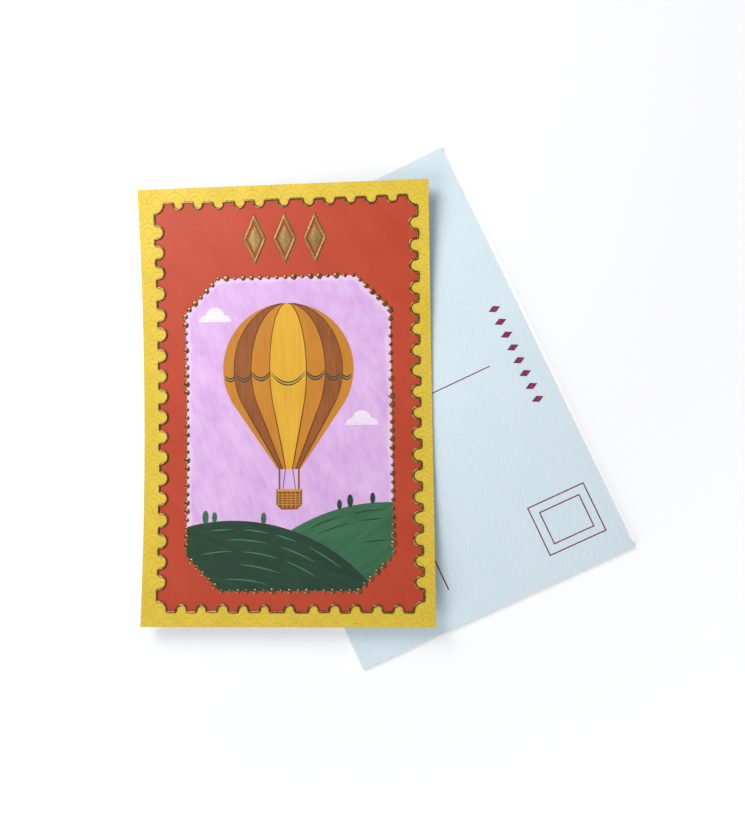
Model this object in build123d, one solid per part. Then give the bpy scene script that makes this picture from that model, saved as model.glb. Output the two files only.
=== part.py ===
from build123d import *
import os
from math import acos, asin, copysign, cos, degrees, hypot, radians, sin, sqrt

# A pair of printed and foil-stamped postcards. The upper card lies face up, bowed along its length so
# that its two short edges lift, across a flat lower card that lies face down.
# Each card is drawn in its own frame: X across, Y up the face, Z out of the face, back of the card at 0.
# The bow is a row of narrow flat strips, which every layer of the card shares.

# Card
CARD_WIDTH = 101.6
CARD_LENGTH = 152.4
BACK_PLY = 0.08
CORE_BOARD = 0.34
FACE_PLY = 0.08
INK = 0.04
BOW_RISE = 5.0
BOW_STRIPS = 13

# How the two cards lie
LOWER_SHIFT_X = 40.6
LOWER_SHIFT_Y = -1.6
LOWER_TURN = 24.24
REST_GAP = 0.1

# Stamp panel on the face, with round tabs of the border cut into its edge. The cut left the whole print of
# the face this far to the right of the card's middle.
PRINT_SHIFT = 0.8
SIDE_BORDER = 4.8
END_BORDER = 5.1
END_TAB_MARGIN = 8.65
END_TAB_PITCH = 7.17
END_TAB_RADIUS = 1.85
END_TAB_INSET = 0.5
MIDDLE_TAB_GAP = 1.43
SIDE_TAB_MARGIN = 9.6
SIDE_TAB_PITCH = 7.24
SIDE_TAB_RADIUS = 2.35
SIDE_TAB_INSET = 0.7
TAB_FACETS = 8
CORNER_RADIUS = 3.6
CORNER_FACETS = 16
EDGE_FOIL_WIDTH = 0.8
EDGE_FOIL_HEIGHT = 0.36

# Window in the panel, a rectangle with cut corners, and the beads around it
WINDOW_SIDE_MARGIN = 9.9
WINDOW_TOP_MARGIN = 26.6
WINDOW_FOOT_MARGIN = 6.9
WINDOW_CHAMFER = 12.0
BEAD_PITCH = 2.97
BEAD_DIAMETER = 1.9
BEAD_HEIGHT = 0.3
BEAD_FACETS = 6

# Title ornaments, a row of lozenges between the window and the top of the panel, each a rim around a core
TITLE_COUNT = 3
TITLE_PITCH = 10.6
TITLE_LOZENGE_WIDTH = 8.2
TITLE_LOZENGE_HEIGHT = 17.6
TITLE_RIM = 1.1
TITLE_GROOVE = 0.5
TITLE_FOIL = 0.2

# Picture in the window, clear of the beads. The balloon fills the sky above the near hill: its length is
# this many times its radius, and its seams lie at these shares of the radius.
PICTURE_CLEARANCE = 0.1
ROUND_FACETS = 24
HILL_RADIUS = 64.0
HILL_FACETS = 64
NEAR_HILL_X = -20.0
NEAR_HILL_HEIGHT = 24.0
FAR_HILL_X = 34.0
FAR_HILL_HEIGHT = 30.0
BALLOON_TOP_GAP = 9.0
BALLOON_SLENDERNESS = 2.52
MOUTH_WIDTH = 8.0
CROWN_WIDTH = 5.0
SEAM_FACETS = 6
LIGHT_GORE_EDGE = 0.28
DARK_GORE_START = 0.57
DARK_GORE_END = 0.83
BASKET_WIDTH = 9.0
BASKET_HEIGHT = 7.0
BASKET_DROP = 7.0
BASKET_LINE = 0.6
BASKET_CLEARANCE = 3.7
CLOUD_RADIUS = 3.4
SIDE_PUFF = 0.7
CLOUD_SIDE_GAP = 10.5
HIGH_CLOUD_DROP = 15.0
LOW_CLOUD_DROP = 52.0

# Print on the back, which reads with the card's left long edge at its top
HEADING_COUNT = 8
HEADING_PITCH = 4.9
HEADING_HEIGHT = 4.4
HEADING_WIDTH = 2.4
HEADING_DROP = 7.8
DIVIDER_WIDTH = 0.35
DIVIDER_START = 17.7
DIVIDER_FOOT = 10.0
RULE_COUNT = 3
RULE_WIDTH = 0.45
RULE_PITCH = 9.0
RULE_DROP = 63.2
RULE_LENGTH = 55.0
RULE_END_GAP = 12.7
STAMP_BOX_WIDTH = 18.0
STAMP_BOX_HEIGHT = 21.0
STAMP_BOX_TOP_GAP = 6.1
STAMP_BOX_END_GAP = 8.9
STAMP_BOX_LINE = 0.4
STAMP_BOX_INNER_GAP = 3.0

# Sizes that follow from those above
CARD_THICKNESS = BACK_PLY + CORE_BOARD + FACE_PLY
INK_TOP = CARD_THICKNESS + INK
PANEL_WIDTH = CARD_WIDTH - 2 * SIDE_BORDER
PANEL_LENGTH = CARD_LENGTH - 2 * END_BORDER
WINDOW_WIDTH = PANEL_WIDTH - 2 * WINDOW_SIDE_MARGIN
WINDOW_TOP = PANEL_LENGTH / 2 - WINDOW_TOP_MARGIN
WINDOW_FOOT = -PANEL_LENGTH / 2 + WINDOW_FOOT_MARGIN
WINDOW_LENGTH = WINDOW_TOP - WINDOW_FOOT
WINDOW_Y = (WINDOW_TOP + WINDOW_FOOT) / 2
BASKET_TOP = WINDOW_FOOT + NEAR_HILL_HEIGHT + BASKET_CLEARANCE + BASKET_HEIGHT
MOUTH_Y = BASKET_TOP + BASKET_DROP
CROWN_Y = WINDOW_TOP - BALLOON_TOP_GAP
BALLOON_RADIUS = (CROWN_Y - MOUTH_Y) / BALLOON_SLENDERNESS
BALLOON_Y = CROWN_Y - BALLOON_RADIUS
BOW_RADIUS = (CARD_LENGTH / 2) ** 2 / (2 * BOW_RISE)
BOW_HALF_ANGLE = CARD_LENGTH / 2 / BOW_RADIUS
BOW_STEP = 2 * BOW_HALF_ANGLE / BOW_STRIPS
TALLEST_FOIL = max(CARD_THICKNESS + EDGE_FOIL_HEIGHT, INK_TOP + BEAD_HEIGHT, INK_TOP + TITLE_FOIL)


def bow_line(height):
    """The corners of the bowed card's section at this height above its back, from one end to the other."""
    radius = BOW_RADIUS - height
    leans = [BOW_STEP * strip - BOW_HALF_ANGLE for strip in range(BOW_STRIPS + 1)]
    return [(radius * sin(lean), BOW_RADIUS - radius * cos(lean)) for lean in leans]


def bowed_slab(bottom, top):
    """A slab of the bowed card between two heights above its back, over its whole width and length."""
    section = make_face(Polyline(*bow_line(bottom), *reversed(bow_line(top)), close=True))
    return extrude(Plane.YZ * section, amount=CARD_WIDTH / 2, both=True)


def layer(outline, bottom, top, bowed):
    """A layer with this outline between two heights above the back, flat or following the bow."""
    if not bowed:
        return extrude(Pos(0, 0, bottom) * outline, amount=top - bottom)
    reach = BOW_RISE + CARD_THICKNESS
    return extrude(Pos(0, 0, -reach) * outline, amount=3 * reach) & bowed_slab(bottom, top)


def ply(bottom, top, bowed):
    if bowed:
        return bowed_slab(bottom, top)
    return extrude(Pos(0, 0, bottom) * Rectangle(CARD_WIDTH, CARD_LENGTH), amount=top - bottom)


def seat(point, height, foot, bowed):
    """The place on the card for something this wide, square to the surface and just clear of its strips."""
    if not bowed:
        return Pos(point.X, point.Y, height)
    radius = (BOW_RADIUS - height) * cos(BOW_STEP / 2) - foot / 2 * sin(BOW_STEP)
    lean = asin(point.Y / radius)
    return Pos(point.X, point.Y, BOW_RADIUS - radius * cos(lean)) * Rot(degrees(lean), 0, 0)


def tab_places(side, margin, pitch, middle_gap=0):
    """Tab places from the middle of a side: even steps, with more room on each side of a middle tab."""
    span = side - 2 * (margin + middle_gap)
    steps = round(span / pitch)
    places = [span * (step / steps - 0.5) for step in range(steps + 1)]
    return [place + copysign(middle_gap, place) if place else 0 for place in places]


def round_tab(radius):
    """A tab that is open upwards, with straight sides and a round end below."""
    turn = 180 / TAB_FACETS
    width = 2 * radius * cos(radians(turn))
    return RegularPolygon(radius, TAB_FACETS, rotation=turn) + Pos(0, radius) * Rectangle(width, 2 * radius)


def stamp_outline(grow):
    """The scalloped panel, grown outwards all round: its edges move out and the tabs in it shrink."""
    half_width = PANEL_WIDTH / 2
    half_length = PANEL_LENGTH / 2
    panel = Rectangle(PANEL_WIDTH + 2 * grow, PANEL_LENGTH + 2 * grow)
    end_tab = round_tab(END_TAB_RADIUS - grow)
    side_tab = Rot(0, 0, -90) * round_tab(SIDE_TAB_RADIUS - grow)
    other_side = Rot(0, 0, 180)
    corner = RegularPolygon(CORNER_RADIUS - grow, CORNER_FACETS, rotation=180 / CORNER_FACETS)
    cuts = [Pos(x, y) * corner for x in (-half_width, half_width) for y in (-half_length, half_length)]
    for x in tab_places(PANEL_WIDTH, END_TAB_MARGIN, END_TAB_PITCH, MIDDLE_TAB_GAP):
        tab = Pos(x, half_length - END_TAB_INSET) * end_tab
        cuts += [tab, other_side * tab]
    for y in tab_places(PANEL_LENGTH, SIDE_TAB_MARGIN, SIDE_TAB_PITCH):
        tab = Pos(half_width - SIDE_TAB_INSET, y) * side_tab
        cuts += [tab, other_side * tab]
    return panel - cuts


def window_outline(inset=0):
    """The window, or a like shape inside it that keeps the same distance from each of its sides."""
    window = Pos(0, WINDOW_Y) * Rectangle(WINDOW_WIDTH - 2 * inset, WINDOW_LENGTH - 2 * inset)
    return chamfer(window.vertices(), WINDOW_CHAMFER - inset * (2 - sqrt(2)))


def picture_outline():
    return window_outline(BEAD_DIAMETER / 2 + PICTURE_CLEARANCE)


def lozenge(width, height, inset=0):
    """A lozenge, or a like shape inside it that keeps the same distance from each of its sides."""
    kept = 1 - inset * 2 * hypot(width, height) / (width * height)
    corners = [(0, height / 2), (width / 2, 0), (0, -height / 2), (-width / 2, 0)]
    return make_face(Polyline(*[(x * kept, y * kept) for x, y in corners], close=True))


def hill(x, height):
    """A round hill that rises this high above the foot of the window."""
    rounded = RegularPolygon(HILL_RADIUS, HILL_FACETS)
    return Pos(x, WINDOW_FOOT + height - HILL_RADIUS) * rounded & picture_outline()


def balloon():
    """A round top drawn in by straight sides to a narrow mouth."""
    crown = Pos(0, BALLOON_Y) * RegularPolygon(BALLOON_RADIUS, ROUND_FACETS)
    throat = Line((-MOUTH_WIDTH / 2, MOUTH_Y), (MOUTH_WIDTH / 2, MOUTH_Y))
    return make_hull([*crown.edges(), throat])


def seam(share):
    """Points down a seam, which keeps this share of the balloon's half width from the crown to the mouth."""
    reach = hypot(MOUTH_WIDTH / 2, BALLOON_Y - MOUTH_Y)
    start = acos(CROWN_WIDTH / 2 / BALLOON_RADIUS)
    end = acos(BALLOON_RADIUS / reach) - acos(MOUTH_WIDTH / 2 / reach)
    turns = [start + (end - start) * step / SEAM_FACETS for step in range(SEAM_FACETS + 1)]
    width = share * BALLOON_RADIUS
    round_top = [(width * cos(turn), BALLOON_Y + BALLOON_RADIUS * sin(turn)) for turn in turns]
    return [*round_top, (share * MOUTH_WIDTH / 2, MOUTH_Y)]


def gore(start, end):
    """A stripe from the crown of the balloon to its mouth, between two seams."""
    return make_face(Polyline(*seam(start), *reversed(seam(end)), close=True)) & balloon()


def basket():
    """The basket and the two lines that carry it from the balloon's mouth."""
    body = Pos(0, BASKET_TOP - BASKET_HEIGHT / 2) * Rectangle(BASKET_WIDTH, BASKET_HEIGHT)
    body = chamfer(body.vertices().group_by(Axis.Y)[0], BASKET_HEIGHT / 4)
    line = Pos(0, BASKET_TOP + BASKET_DROP / 2) * Rectangle(BASKET_LINE, BASKET_DROP)
    inner = min(BASKET_WIDTH, MOUTH_WIDTH) / 2 - BASKET_LINE
    return body + [Pos(side * inner, 0) * line for side in (-1, 1)]


def cloud():
    """Three puffs on a flat base."""
    puffs = Pos(0, CLOUD_RADIUS / 2) * RegularPolygon(CLOUD_RADIUS, ROUND_FACETS)
    for side in (-1, 1):
        puffs += Pos(side * CLOUD_RADIUS, 0) * RegularPolygon(CLOUD_RADIUS * SIDE_PUFF, ROUND_FACETS)
    return puffs & Pos(0, CLOUD_RADIUS) * Rectangle(6 * CLOUD_RADIUS, 2 * CLOUD_RADIUS)


def picture():
    """The printed shapes in the window, as outlines by name, each with its height above the window ink.
    What lies in front is left out of what lies behind it."""
    window = picture_outline()
    side = WINDOW_WIDTH / 2 - CLOUD_SIDE_GAP
    high_cloud = Pos(-side, WINDOW_TOP - HIGH_CLOUD_DROP) * cloud()
    low_cloud = Pos(side, WINDOW_TOP - LOW_CLOUD_DROP) * cloud()
    dark_gores = gore(DARK_GORE_START, DARK_GORE_END) + gore(-DARK_GORE_END, -DARK_GORE_START)
    envelope = balloon() & window
    hanging = basket() & window
    near = hill(NEAR_HILL_X, NEAR_HILL_HEIGHT) - envelope - hanging
    far = hill(FAR_HILL_X, FAR_HILL_HEIGHT) - near - envelope - hanging
    return {
        "far_hill_ink": (far, 0),
        "near_hill_ink": (near, 0),
        "balloon_ink": (envelope, 0),
        "light_gore_ink": (gore(-LIGHT_GORE_EDGE, LIGHT_GORE_EDGE) & window, INK),
        "dark_gore_ink": (dark_gores & window, INK),
        "basket_ink": (hanging, 0),
        "cloud_ink": (((high_cloud + low_cloud) & window) - envelope - near - far, 0),
    }


def back_place(along, down):
    """A place on the back, measured along its top edge from the left and down from that edge."""
    return Pos(down - CARD_WIDTH / 2, CARD_LENGTH / 2 - along)


def back_frame(along, down, width, height, line):
    """A rectangular outline on the back, centred at a place there."""
    outline = Rectangle(height, width) - Rectangle(height - 2 * line, width - 2 * line)
    return back_place(along, down) * outline


def back_print():
    """The outlines printed on the back, by name."""
    middle = CARD_LENGTH / 2
    mark = lozenge(HEADING_HEIGHT, HEADING_WIDTH)
    offsets = [HEADING_PITCH * (step - (HEADING_COUNT - 1) / 2) for step in range(HEADING_COUNT)]
    divider = CARD_WIDTH - DIVIDER_START - DIVIDER_FOOT
    rule_middle = CARD_LENGTH - RULE_END_GAP - RULE_LENGTH / 2
    box_along = CARD_LENGTH - STAMP_BOX_END_GAP - STAMP_BOX_WIDTH / 2
    box_down = STAMP_BOX_TOP_GAP + STAMP_BOX_HEIGHT / 2
    inner_width = STAMP_BOX_WIDTH - 2 * STAMP_BOX_INNER_GAP
    inner_height = STAMP_BOX_HEIGHT - 2 * STAMP_BOX_INNER_GAP
    return {
        "heading_ink": Sketch() + [back_place(middle + offset, HEADING_DROP) * mark for offset in offsets],
        "divider_ink": back_place(middle, DIVIDER_START + divider / 2) * Rectangle(divider, DIVIDER_WIDTH),
        "address_rule_ink": Sketch()
        + [
            back_place(rule_middle, RULE_DROP + RULE_PITCH * row) * Rectangle(RULE_WIDTH, RULE_LENGTH)
            for row in range(RULE_COUNT)
        ],
        "stamp_box_ink": back_frame(box_along, box_down, STAMP_BOX_WIDTH, STAMP_BOX_HEIGHT, STAMP_BOX_LINE)
        + back_frame(box_along, box_down, inner_width, inner_height, STAMP_BOX_LINE),
    }


def beads(bowed):
    """Low faceted studs, evenly spaced around the window, that sit across the edge of the panel ink."""
    path = window_outline().wire()
    count = round(path.length / BEAD_PITCH)
    bead = loft([RegularPolygon(BEAD_DIAMETER / 2, BEAD_FACETS).face(), Vertex(0, 0, BEAD_HEIGHT)])
    return [seat(path @ (step / count), INK_TOP, BEAD_DIAMETER, bowed) * bead for step in range(count)]


def title(bowed):
    """A row of lozenges, halfway between the window and the top of the panel."""
    middle = (PANEL_LENGTH / 2 + WINDOW_TOP) / 2
    size = (TITLE_LOZENGE_WIDTH, TITLE_LOZENGE_HEIGHT)
    rim = lozenge(*size) - lozenge(*size, TITLE_RIM)
    core = lozenge(*size, TITLE_RIM + TITLE_GROOVE)
    shapes = []
    for step in range(TITLE_COUNT):
        x = TITLE_PITCH * (step - (TITLE_COUNT - 1) / 2)
        shapes += [layer(Pos(x, middle) * part, INK_TOP, INK_TOP + TITLE_FOIL, bowed) for part in (rim, core)]
    return shapes


def face_print(bowed):
    """The prints and foils of the face, by name, drawn about the middle of the card."""
    inner_edge = stamp_outline(-EDGE_FOIL_WIDTH / 2)
    outer_edge = stamp_outline(EDGE_FOIL_WIDTH / 2)
    window = window_outline()
    pieces = {
        "panel_ink": layer(inner_edge - window, CARD_THICKNESS, INK_TOP, bowed),
        "window_ink": layer(window, CARD_THICKNESS, INK_TOP, bowed),
        "stamp_edge_foil": layer(outer_edge - inner_edge, CARD_THICKNESS, TALLEST_FOIL, bowed),
        "bead_foil": beads(bowed),
        "title_foil": title(bowed),
    }
    for name, (outline, lift) in picture().items():
        pieces[name] = layer(outline, INK_TOP + lift, INK_TOP + lift + INK, bowed)
    return pieces


def solids_of(piece):
    """The solids of a shape, or of all the shapes in a list."""
    parts = piece if isinstance(piece, list) else [piece]
    return [solid for part in parts for solid in part.solids()]


def card(bowed):
    """All the pieces of one card in its own frame, by name."""
    face_bottom = BACK_PLY + CORE_BOARD
    pieces = {
        "back_ply": ply(0, BACK_PLY, bowed),
        "core_board": ply(BACK_PLY, face_bottom, bowed),
        "face_ply": ply(face_bottom, CARD_THICKNESS, bowed),
    }
    for name, piece in face_print(bowed).items():
        pieces[name] = [Pos(PRINT_SHIFT, 0) * solid for solid in solids_of(piece)]
    for name, outline in back_print().items():
        pieces[name] = layer(outline, -INK, 0, bowed)
    return pieces


def pair_middle():
    """The middle of the box around the two cards, seen from above, with the upper card at the origin."""
    upper_x = CARD_WIDTH / 2
    upper_y = BOW_RADIUS * sin(BOW_HALF_ANGLE)
    turn = radians(LOWER_TURN)
    lower_x = (CARD_WIDTH * cos(turn) + CARD_LENGTH * sin(turn)) / 2
    lower_y = (CARD_WIDTH * sin(turn) + CARD_LENGTH * cos(turn)) / 2
    left = min(-upper_x, LOWER_SHIFT_X - lower_x)
    right = max(upper_x, LOWER_SHIFT_X + lower_x)
    low = min(-upper_y, LOWER_SHIFT_Y - lower_y)
    high = max(upper_y, LOWER_SHIFT_Y + lower_y)
    return (left + right) / 2, (low + high) / 2


def save(prefix, pieces, place):
    for name, piece in pieces.items():
        placed = [place * solid for solid in solids_of(piece)]
        shape = placed[0] if len(placed) == 1 else Compound(placed)
        export_step(shape, f"parts/{prefix}_{name}.step")


os.makedirs("parts", exist_ok=True)
middle_x, middle_y = pair_middle()
lower_back = TALLEST_FOIL
upper_back = lower_back + INK + REST_GAP + INK
face_down = Rot(0, 0, LOWER_TURN) * Rot(0, 180, 0)
lower_middle = Pos(LOWER_SHIFT_X - middle_x, LOWER_SHIFT_Y - middle_y, lower_back)
save("upper", card(True), Pos(-middle_x, -middle_y, upper_back))
save("lower", card(False), lower_middle * face_down)
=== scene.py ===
# %% [markdown]
# # A pair of printed and foil-stamped postcards
# One card lies face up, gently bowed, across another that lies face down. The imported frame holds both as
# thin solids, layer on layer. This lesson dresses every layer: papers, paints, foil and the printed back.
# A piece could be modelled where it lies, but a bowed sheet is hard to draw on. So each piece is drawn flat,
# in millimetres from the middle of one card, and is then laid on both cards by the same rule.

# %% Load the frame
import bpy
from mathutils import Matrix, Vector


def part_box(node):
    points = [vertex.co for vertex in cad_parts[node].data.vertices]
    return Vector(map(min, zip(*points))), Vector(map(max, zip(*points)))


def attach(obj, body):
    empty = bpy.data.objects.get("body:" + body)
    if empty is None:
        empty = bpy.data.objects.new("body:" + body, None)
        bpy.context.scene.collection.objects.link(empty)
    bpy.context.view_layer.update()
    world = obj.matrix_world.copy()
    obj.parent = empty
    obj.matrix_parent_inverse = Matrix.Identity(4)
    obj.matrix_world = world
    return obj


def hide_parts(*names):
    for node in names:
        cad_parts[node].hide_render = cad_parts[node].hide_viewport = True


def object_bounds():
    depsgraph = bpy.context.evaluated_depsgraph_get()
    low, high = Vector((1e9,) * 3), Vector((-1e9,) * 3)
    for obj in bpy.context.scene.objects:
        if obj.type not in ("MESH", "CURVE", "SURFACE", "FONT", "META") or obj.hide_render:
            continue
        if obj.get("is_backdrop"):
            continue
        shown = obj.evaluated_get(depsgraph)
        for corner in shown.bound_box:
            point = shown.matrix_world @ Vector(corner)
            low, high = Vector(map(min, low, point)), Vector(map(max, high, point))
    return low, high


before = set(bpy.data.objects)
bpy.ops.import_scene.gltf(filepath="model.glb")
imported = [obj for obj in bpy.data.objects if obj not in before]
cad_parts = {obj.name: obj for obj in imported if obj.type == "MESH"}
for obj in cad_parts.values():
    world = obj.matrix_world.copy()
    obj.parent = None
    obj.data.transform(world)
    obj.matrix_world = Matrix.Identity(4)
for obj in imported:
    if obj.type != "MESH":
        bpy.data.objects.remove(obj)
cad_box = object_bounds()

# %% Modules and the unit
from math import acos, asin, ceil, copysign, cos, degrees, floor, hypot, pi, radians, sin, sqrt
from random import Random

import bmesh
import bpy
import numpy as np

MM = 0.001
print("Blender", bpy.app.version_string, "works in metres, so a millimetre is", MM)

# %% [markdown]
# ## Where the two cards lie
# The upper card springs up at both short edges, as board does after it has been rolled or has dried on one
# side. The solid has this bow as flat strips, which would catch the light as bands. A Simple Deform modifier
# could bend a sheet, but it bends each piece about that piece's own middle. A formula bends every layer about
# one and the same line, so ink stays on paper. The lower card is only turned over, swung round and set down.

# %% Two ways to lay a flat piece
CARD_LENGTH = 152.4
BOW_RISE = 5.0
LOWER_TURN = radians(24.24)

upper_low, upper_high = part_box("upper_back_ply")
lower_low, lower_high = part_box("lower_back_ply")
CARD_WIDTH = (upper_high.x - upper_low.x) / MM
BOW_RADIUS = (CARD_LENGTH / 2) ** 2 / (2 * BOW_RISE) * MM
upper_middle = (upper_low + upper_high) / 2
lower_middle = (lower_low + lower_high) / 2
upper_spot = np.array([upper_middle.x, upper_middle.y, upper_low.z])
lower_spot = np.array([lower_middle.x, lower_middle.y, lower_high.z])


def lay_upper(points):
    """Bend flat points up along the bow and set them down face up."""
    lean = points[:, 1] / BOW_RADIUS
    radius = BOW_RADIUS - points[:, 2]
    bent = [points[:, 0], radius * np.sin(lean), BOW_RADIUS - radius * np.cos(lean)]
    return np.stack(bent, 1) + upper_spot


def lay_lower(points):
    """Turn flat points face down, swing them round and set them down."""
    across, along = -points[:, 0], points[:, 1]
    turned_x = across * cos(LOWER_TURN) - along * sin(LOWER_TURN)
    turned_y = across * sin(LOWER_TURN) + along * cos(LOWER_TURN)
    return np.stack([turned_x, turned_y, -points[:, 2]], 1) + lower_spot


def levels(node):
    """How high a layer lies above the card's back, bottom and top in mm, read from the flat lower card."""
    low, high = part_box(f"lower_{node}")
    return (lower_high.z - high.z) / MM, (lower_high.z - low.z) / MM


print(f"card {CARD_WIDTH:.1f} x {CARD_LENGTH:.1f} mm, bow radius {BOW_RADIUS / MM:.0f} mm")

# %% [markdown]
# ## Two small tools for every node tree
# Shaders and Geometry Nodes are both trees of nodes. One function adds a node, sets its properties and joins
# its inputs, so that a tree reads from top to bottom like a recipe. Colours are written as they are picked
# on a screen, in sRGB, and Blender computes in linear light, so one function turns the first into the second.

# %% Add a node, turn a colour to linear
MIX_FACTOR, MIX_FROM, MIX_TO, MIX_COLOUR = 0, 6, 7, 2


def add(tree, kind, inputs=None, **settings):
    """A new node with these settings. An input given a node or a socket is linked, and any other is set."""
    node = tree.nodes.new(kind)
    for name, value in settings.items():
        setattr(node, name, value)
    for name, value in (inputs or {}).items():
        if isinstance(value, bpy.types.Node):
            value = value.outputs[0]
        if isinstance(value, bpy.types.NodeSocket):
            tree.links.new(value, node.inputs[name])
        else:
            node.inputs[name].default_value = value
    return node


def linear(code):
    """An sRGB colour such as #F2DB5E as linear red, green, blue and alpha."""
    shares = [int(code[place:place + 2], 16) / 255 for place in (1, 3, 5)]
    return [s / 12.92 if s <= 0.04045 else ((s + 0.055) / 1.055) ** 2.4 for s in shares] + [1.0]


print("mid grey #808080 is", round(linear("#808080")[0], 3), "in linear light")

# %% [markdown]
# ## Patterns at their real size
# A card's patterns have to follow the card, not the room: the brush ran up the face, and the same card lies
# turned over beside it. So each mesh keeps its flat places in an attribute named card, and the materials read
# that. Object coordinates would do for the upper card alone. A Mapping node in Texture mode takes the real
# size of one grain of the pattern, and the noise after it is spread to run from 0 to 1. Most finishes mingle
# a fine pattern with a broad one, and let the result run between two shades.

# %% A blank material and its patterns
def blank(name):
    """A material with no nodes but the one that reads the flat place on the card."""
    made = bpy.data.materials.new(name)
    made.use_nodes = True
    tree = made.node_tree
    tree.nodes.clear()
    place = add(tree, "ShaderNodeAttribute", attribute_name="card").outputs["Vector"]
    return made, tree, place


def pattern(tree, place, width, length, lean=0.0, detail=3.0, spread=(0.35, 0.65)):
    """Noise with grains this wide and long in mm, leaning this many degrees, from 0 to 1."""
    size = (width * MM, length * MM, width * MM)
    grain = {"Vector": place, "Rotation": (0, 0, radians(lean)), "Scale": size}
    sized = add(tree, "ShaderNodeMapping", grain, vector_type="TEXTURE")
    noise = add(tree, "ShaderNodeTexNoise", {"Vector": sized, "Scale": 1.0, "Detail": detail})
    return add(tree, "ShaderNodeMapRange", {"Value": noise, "From Min": spread[0], "From Max": spread[1]})


def mingle(tree, fine, broad, share):
    """A fine pattern over a broad one: this share of the first and the rest of the second."""
    fine_part = add(tree, "ShaderNodeMath", {0: fine, 1: share}, operation="MULTIPLY")
    return add(tree, "ShaderNodeMath", {0: broad, 1: 1 - share, 2: fine_part}, operation="MULTIPLY_ADD")


print("helpers: blank, pattern and mingle")

# %% A closed surface
def surface(tree, tone, shades, relief, constants, depth):
    """Close a material: a tone between two shades, constants on the shader, and a relief this deep in mm.
    A shade is an sRGB colour or the colour socket of a node."""
    deep, pale = [linear(shade) if isinstance(shade, str) else shade for shade in shades]
    blend = {MIX_FACTOR: tone, MIX_FROM: deep, MIX_TO: pale}
    colour = add(tree, "ShaderNodeMix", blend, data_type="RGBA").outputs[MIX_COLOUR]
    bump = add(tree, "ShaderNodeBump", {"Height": relief, "Distance": depth * MM})
    shader = add(tree, "ShaderNodeBsdfPrincipled", {"Base Color": colour, "Normal": bump, **constants})
    add(tree, "ShaderNodeOutputMaterial", {"Surface": shader})


print("helper: surface")

# %% [markdown]
# ## Papers and board
# The address side is a pale blue uncoated paper. It was pressed under a felt while wet, which leaves a soft
# woolly grain. The core is white pulp board, seen only as the thin light line of the cut edge. A grain of
# real paper is finer than a pixel here, so it is drawn coarse enough to show.

# %% Felt-marked paper and pulp board
FELT_LEAN = 24


def felt_paper():
    """Uncoated paper: no gloss, a woolly relief and fibres a shade darker than the sheet."""
    made, tree, place = blank("felt_marked_uncoated_paper")
    cloud = pattern(tree, place, width=16, length=22, lean=FELT_LEAN)
    fibre = pattern(tree, place, width=0.7, length=3.5, lean=FELT_LEAN, detail=4.0)
    felt = pattern(tree, place, width=0.9, length=1.8, lean=FELT_LEAN, detail=4.0)
    tone = mingle(tree, fibre, cloud, share=0.6)
    chalky = {"Roughness": 0.85, "Specular IOR Level": 0.2}
    surface(tree, tone, ("#CADAE0", "#D2E0E6"), felt, chalky, depth=0.03)
    return made


def pulp_board():
    """Bleached pulp: chalky white, with short fibres that lie along the cut."""
    made, tree, place = blank("bleached_pulp_board")
    fibre = pattern(tree, place, width=1.8, length=1.8, detail=5.0)
    chalky = {"Roughness": 0.9, "Specular IOR Level": 0.2}
    surface(tree, fibre, ("#D5D3CC", "#E7E7E3"), fibre, chalky, depth=0.02)
    return made


blue_paper = felt_paper()
white_board = pulp_board()
print("papers:", blue_paper.name, white_board.name)

# %% [markdown]
# ## Body colour
# The face is printed from a painting in gouache, an opaque matt paint. It dries flat, but a brush leaves
# streaks along its path, and each load of paint differs a little. Two noises do this: a broad one for the
# loads, and a long narrow one for the bristles. The paper's tooth stays as a faint relief, and a thin varnish
# over the print gives every colour the same satin sheen.

# %% Gouache in one colour
PAPER_TOOTH = 0.8
SATIN = {"Roughness": 0.42, "Specular IOR Level": 0.36}


def gouache(name, deep, pale, lean, streak=0.5):
    """Opaque paint between two shades, streaked this much along a brush that leans this far, with a sheen."""
    made, tree, place = blank(f"gouache_{name}")
    load = pattern(tree, place, width=14, length=20, lean=lean)
    bristle = pattern(tree, place, width=0.9, length=12, lean=lean, detail=4.0)
    tooth = pattern(tree, place, PAPER_TOOTH, PAPER_TOOTH)
    surface(tree, mingle(tree, bristle, load, streak), (deep, pale), tooth, SATIN, depth=0.012)
    return made


red_paint = gouache("brick_red", "#AA3719", "#B33F21", lean=35, streak=0.25)
dark_green_paint = gouache("bottle_green", "#0F3020", "#1A412C", lean=70)
green_paint = gouache("leaf_green", "#235637", "#356945", lean=-60)
ochre_paint = gouache("ochre", "#B37014", "#BF7E1F", lean=8)
gold_yellow_paint = gouache("gold_yellow", "#CB961A", "#D6A72F", lean=0)
brown_paint = gouache("sienna_brown", "#7C4013", "#93541D", lean=0)
pale_paint = gouache("pale_rose", "#DDCCDF", "#E6DEE7", lean=80)
print("paints:", [m.name for m in bpy.data.materials if m.name.startswith("gouache")])

# %% [markdown]
# ## The yellow border and the lilac ground
# The border is a smooth yellow with a few dark flecks, as recycled pulp has. The ground in the window is the
# most brushed paint on the card: broad strokes, and a lighter band where the brush followed the edge. The
# band needs the distance to a window with cut corners, which is the least of three distances.

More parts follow.
